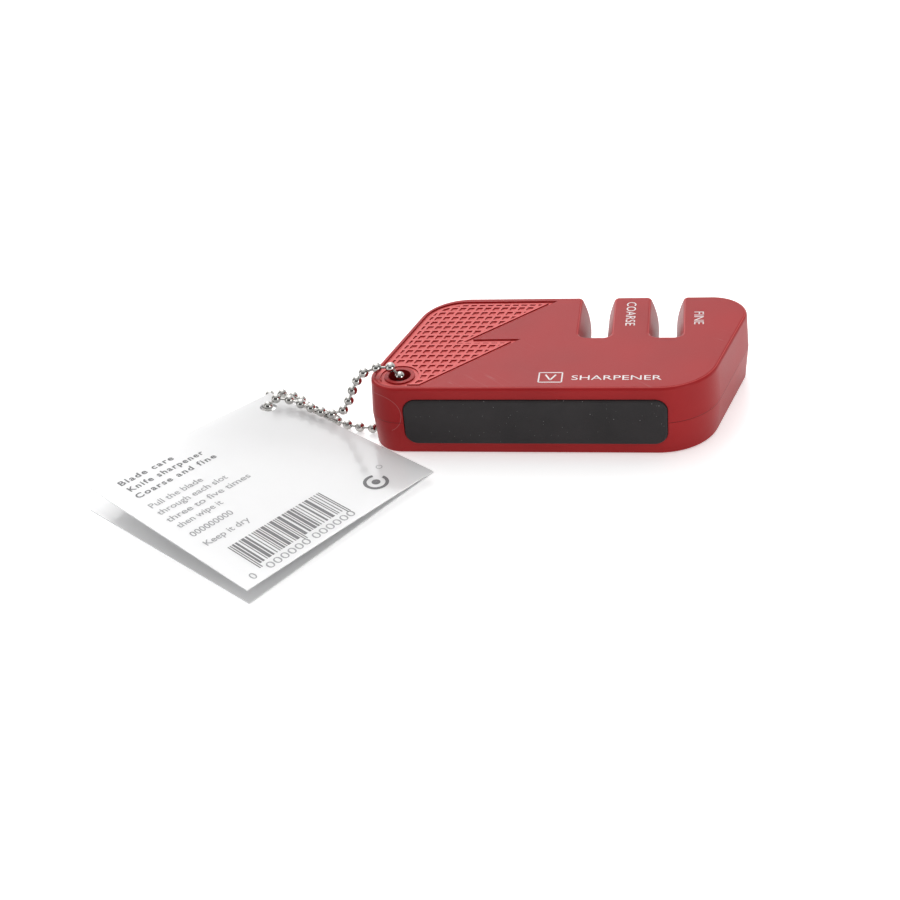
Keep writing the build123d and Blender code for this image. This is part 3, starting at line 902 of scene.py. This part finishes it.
class SHARPENER_OT_tag(bpy.types.Operator):
    """Folds the card, punches its hole and prints its upper leaf"""

    bl_idname = "sharpener.tag"
    bl_label = "Hang tag"

    def execute(self, context):
        settings = context.scene.sharpener_tag
        card = Card(settings)
        piece = self.leaf_pair(card, settings, card_white(settings))
        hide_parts("tag_front_leaf", "tag_back_leaf")
        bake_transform(piece)
        self.print(card, settings)
        return {"FINISHED"}

    def print(self, card, settings):
        """Title, care lines, a plain bar pattern and a sign, read with the fold on the right."""
        lift = Vector((0, 0, 0.5 * card.thickness))

        def place(x, y):
            return card.upper(-y, card.size - x) + lift

        dark = Print(place)
        titles = (
            ("Blade care", 5.1, -6.7, 15.0),
            ("Knife sharpener", 5.2, -10.0, 21.0),
            ("Coarse and fine", 4.8, -13.3, 22.4),
        )
        for words, x, y, width in titles:
            dark.words(words, x * MM, y * MM, 1.85 * MM, width * MM, 1.25, 0.025)
        self.bars(dark, 6.4 * MM, -50.6 * MM, 26.2 * MM, 9.2 * MM)
        dark.ring(43.7 * MM, -48.2 * MM, 2.9 * MM, 2.1 * MM, 0.35 * pi, 1.7 * pi)
        dark.ring(43.7 * MM, -48.2 * MM, 1.0 * MM, 0.05 * MM)
        pale = Print(place)
        lines = (
            ("Pull the blade", 4.4, -18.5, 14.6),
            ("through each slot", 4.2, -21.8, 19.2),
            ("three to five times", 3.9, -25.3, 23.2),
            ("then wipe it", 4.1, -28.6, 12.2),
            ("000000000", 4.0, -33.2, 11.4),
            ("Keep it dry", 3.9, -37.8, 12.2),
        )
        for words, x, y, width in lines:
            pale.words(words, x * MM, y * MM, 1.95 * MM, width * MM, weight=0.008)
        digit = 2.2 * MM
        pale.words("0", 3.0 * MM, -53.6 * MM, digit)
        for x in (7.6 * MM, 20.6 * MM):
            pale.words("000000", x, -53.6 * MM, digit, 12.0 * MM)
        pale.ring(48.4 * MM, -44.4 * MM, 0.75 * MM, 0.6 * MM)
        for name, sheet, ink in (
            ("tag_print_dark", dark, settings.ink),
            ("tag_print_pale", pale, settings.grey),
        ):
            piece = sheet.piece(name, plain_finish(name, ink, 0.35, scale=6000.0, depth=0.002))
            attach(piece, "tag_back")

    def bars(self, sheet, x, y, width, height):
        """Plain upright bars of even steps, with longer ones at both ends and in the middle."""
        random = Random(7)
        steps = 95
        guards = (0, 2, 46, 48, 92, 94)
        longer = 1.2 * MM
        step = width / steps
        place = 0
        while place < steps:
            guard = place in guards
            broad = 1 if guard else random.choice((1, 1, 2, 2, 3))
            extra = longer if guard else 0.0
            sheet.bar(x + place * step, y - extra, broad * step, height + extra)
            after = place + broad + (1 if guard else random.choice((1, 1, 2)))
            place = min([after] + [stop for stop in guards if place < stop])

    def leaf_pair(self, card, settings, white):
        """Both leaves as one sheet with a tight round fold, thickened and punched."""
        cuts, turns = 28, 6
        reaches = [max(0.5 * card.thickness, card.size * step / cuts) for step in range(cuts + 1)]
        rows = [(card.lower, reach) for reach in reversed(reaches)]
        rows += [(card.bend, pi * turn / turns) for turn in range(1, turns)]
        rows += [(card.upper, reach) for reach in reaches]
        vertices = [place(card.size * cut / cuts, value) for place, value in rows for cut in range(cuts + 1)]
        faces = strip_faces(len(rows), cuts + 1)
        piece = piece_from("hang_tag", vertices, faces, white, smooth=True)
        thicken(piece, 0.85 * card.thickness)
        self.punch(piece, settings)
        return piece

    def punch(self, piece, settings):
        """Cuts the chain's hole through both leaves."""
        pivot = Vector(JOINTS["tag_swing"]["pos_m"])
        turns = 40
        ring = ring_points(settings.hole, turns)
        vertices = [(pivot.x + x, pivot.y + y, z) for z in (-5 * MM, 12 * MM) for x, y in ring]
        faces = [tuple(reversed(range(turns))), tuple(range(turns, 2 * turns))]
        faces += strip_faces(2, turns, closed=True)
        cutter = piece_from("punch", vertices, faces, piece.data.materials[0])
        cut = piece.modifiers.new("punch", "BOOLEAN")
        cut.operation, cut.object, cut.solver = "DIFFERENCE", cutter, "EXACT"
        baked(piece)
        bpy.data.objects.remove(cutter)


class SHARPENER_PT_panel(bpy.types.Panel):
    """Buttons that build the sharpener piece by piece"""

    bl_label = "Sharpener"
    bl_idname = "SHARPENER_PT_panel"
    bl_space_type = "VIEW_3D"
    bl_region_type = "UI"
    bl_category = "Sharpener"

    def draw(self, context):
        for operator in OPERATORS:
            self.layout.operator(operator.bl_idname)
        for name in SETTINGS:
            group = getattr(context.scene, name)
            box = self.layout.box()
            for prop in group.__annotations__:
                box.prop(group, prop)


OPERATORS = (
    SHARPENER_OT_stage,
    SHARPENER_OT_housing,
    SHARPENER_OT_inserts,
    SHARPENER_OT_marks,
    SHARPENER_OT_chain,
    SHARPENER_OT_tag,
)
SETTINGS = {
    "sharpener_stage": StageSettings,
    "sharpener_housing": HousingSettings,
    "sharpener_inserts": InsertSettings,
    "sharpener_marks": MarkSettings,
    "sharpener_chain": ChainSettings,
    "sharpener_tag": TagSettings,
}


def register():
    for name, group in SETTINGS.items():
        bpy.utils.register_class(group)
        setattr(bpy.types.Scene, name, PointerProperty(type=group))
    for operator in OPERATORS:
        bpy.utils.register_class(operator)
    bpy.utils.register_class(SHARPENER_PT_panel)


def unregister():
    bpy.utils.unregister_class(SHARPENER_PT_panel)
    for operator in reversed(OPERATORS):
        bpy.utils.unregister_class(operator)
    for name, group in reversed(SETTINGS.items()):
        delattr(bpy.types.Scene, name)
        bpy.utils.unregister_class(group)


def main():
    register()
    for operator in OPERATORS:
        family, name = operator.bl_idname.split(".")
        getattr(getattr(bpy.ops, family), name)()


if __name__ == "__main__":
    main()
